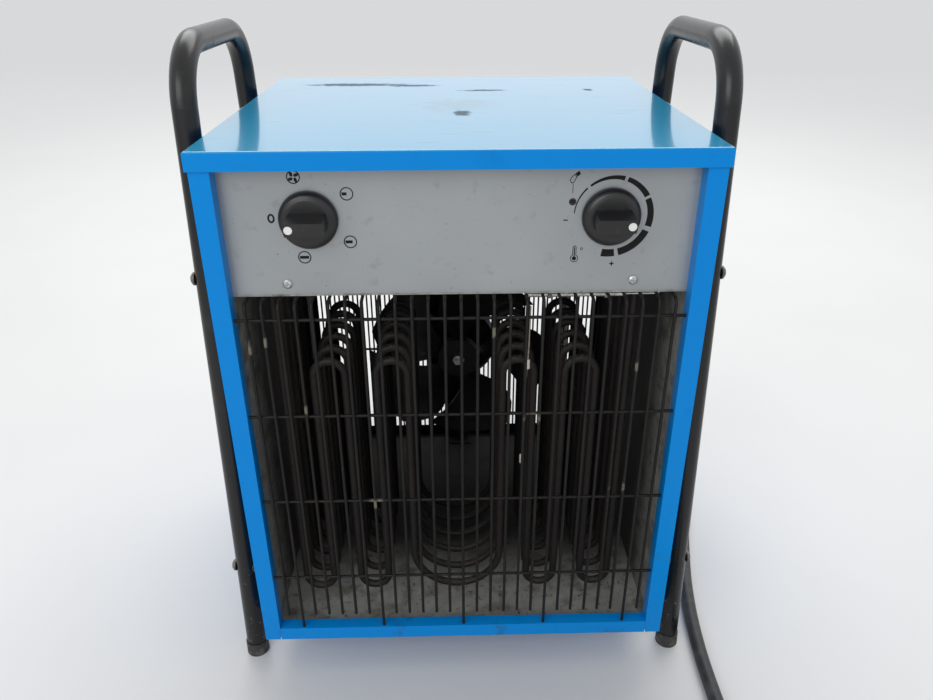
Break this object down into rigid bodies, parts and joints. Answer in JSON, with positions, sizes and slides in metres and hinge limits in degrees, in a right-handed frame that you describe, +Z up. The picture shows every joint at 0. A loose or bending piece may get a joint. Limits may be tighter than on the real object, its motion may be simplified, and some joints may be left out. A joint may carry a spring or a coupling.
{
  "type": "electric fan heater",
  "caption": "Free-standing electric fan heater: a folded sheet case in a bent tube frame, tubular elements and axial fan behind wire grilles, two rotary knobs and a coiled supply cord.",
  "frame": {"origin": "on the floor, under the middle of the heater measured over the tube frame and from the knobs' fronts to the lid's back", "axes": "+X to the right seen from the front, +Y from the front to the back, +Z up"},
  "size_m": [0.6011, 0.87, 0.6695],
  "materials": {
    "blue_paint": "satin powder coat",
    "silver_paint": "matte silver print",
    "black_tube_paint": "gloss powder coat",
    "galvanised": "galvanised",
    "zinc_hardware": "zinc plated",
    "black_hardware": "blackened",
    "wire_guard": "heat-browned black",
    "black_plastic": "fine grain",
    "switch_plastic": "matte",
    "red_plastic": "satin",
    "gland_plastic": "matte",
    "element_sheath": "oxidised by heat",
    "brass": "machined",
    "copper_line": "tinned",
    "fan_steel": "dusty pressed steel",
    "motor_paint": "satin",
    "cord_rubber": "matte"
  },
  "bodies": {
    "case": {"lid": "blue_paint", "lid_screws": "zinc_hardware", "left_side_panel": "blue_paint", "right_side_panel": "blue_paint", "base_tray": "blue_paint", "inner_floor": "galvanised", "left_liner": "galvanised", "right_liner": "galvanised", "component_shelf": "galvanised", "control_panel": "silver_paint", "panel_screws": "zinc_hardware", "rear_panel": "blue_paint", "front_grille": "wire_guard", "rear_grille": "wire_guard", "left_frame_tube": "black_tube_paint", "right_frame_tube": "black_tube_paint", "foot_caps": "black_plastic", "frame_spacers": "black_plastic", "frame_bolts": "black_hardware", "frame_nuts": "zinc_hardware", "selector_switch": "switch_plastic", "thermostat_body": "copper_line", "sensing_capillary": "copper_line", "sensing_bulb": "copper_line", "bulb_clips": "galvanised", "thermal_cutout": "black_plastic", "mounting_rail": "galvanised", "contactor": "black_plastic", "terminal_block": "switch_plastic", "heating_element_1": "element_sheath", "heating_element_2": "element_sheath", "heating_element_3": "element_sheath", "heating_element_4": "element_sheath", "heating_element_5": "element_sheath", "heating_element_6": "element_sheath", "element_bushings": "brass", "element_terminals": "zinc_hardware", "fan_motor": "motor_paint", "motor_bracket": "galvanised", "motor_screws": "zinc_hardware", "cable_gland": "gland_plastic", "gland_locknut": "gland_plastic", "cord_boot": "cord_rubber", "supply_cord": "cord_rubber", "cord_coil": "cord_rubber", "cord_tail": "cord_rubber", "cord_tie": "black_plastic", "plug_body": "red_plastic", "plug_pins": "brass"},
    "selector": {"selector_knob": "black_plastic", "selector_shaft": "zinc_hardware"},
    "thermostat": {"thermostat_knob": "black_plastic", "thermostat_shaft": "zinc_hardware"},
    "reset": {"reset_button": "red_plastic"},
    "fan": {"fan_blades": "fan_steel", "fan_hub": "fan_steel", "motor_shaft": "zinc_hardware", "fan_nut": "zinc_hardware"}
  },
  "joints": [
    {"name": "selector_turn", "type": "hinge", "parent": "case", "child": "selector", "pos_m": [-0.128, -0.1825, 0.529], "axis": [0, 1, 0], "range_deg": [0, 280]},
    {"name": "thermostat_turn", "type": "hinge", "parent": "case", "child": "thermostat", "pos_m": [0.128, -0.1825, 0.529], "axis": [0, 1, 0], "range_deg": [-180, 90]},
    {"name": "reset_press", "type": "slide", "parent": "case", "child": "reset", "axis": [0, 1, 0], "range_m": [0, 0.0015], "stiffness_N_per_m": 400},
    {"name": "fan_spin", "type": "hinge", "parent": "case", "child": "fan", "pos_m": [0, 0.1285, 0.235], "axis": [0, 1, 0], "continuous": true}
  ]
}
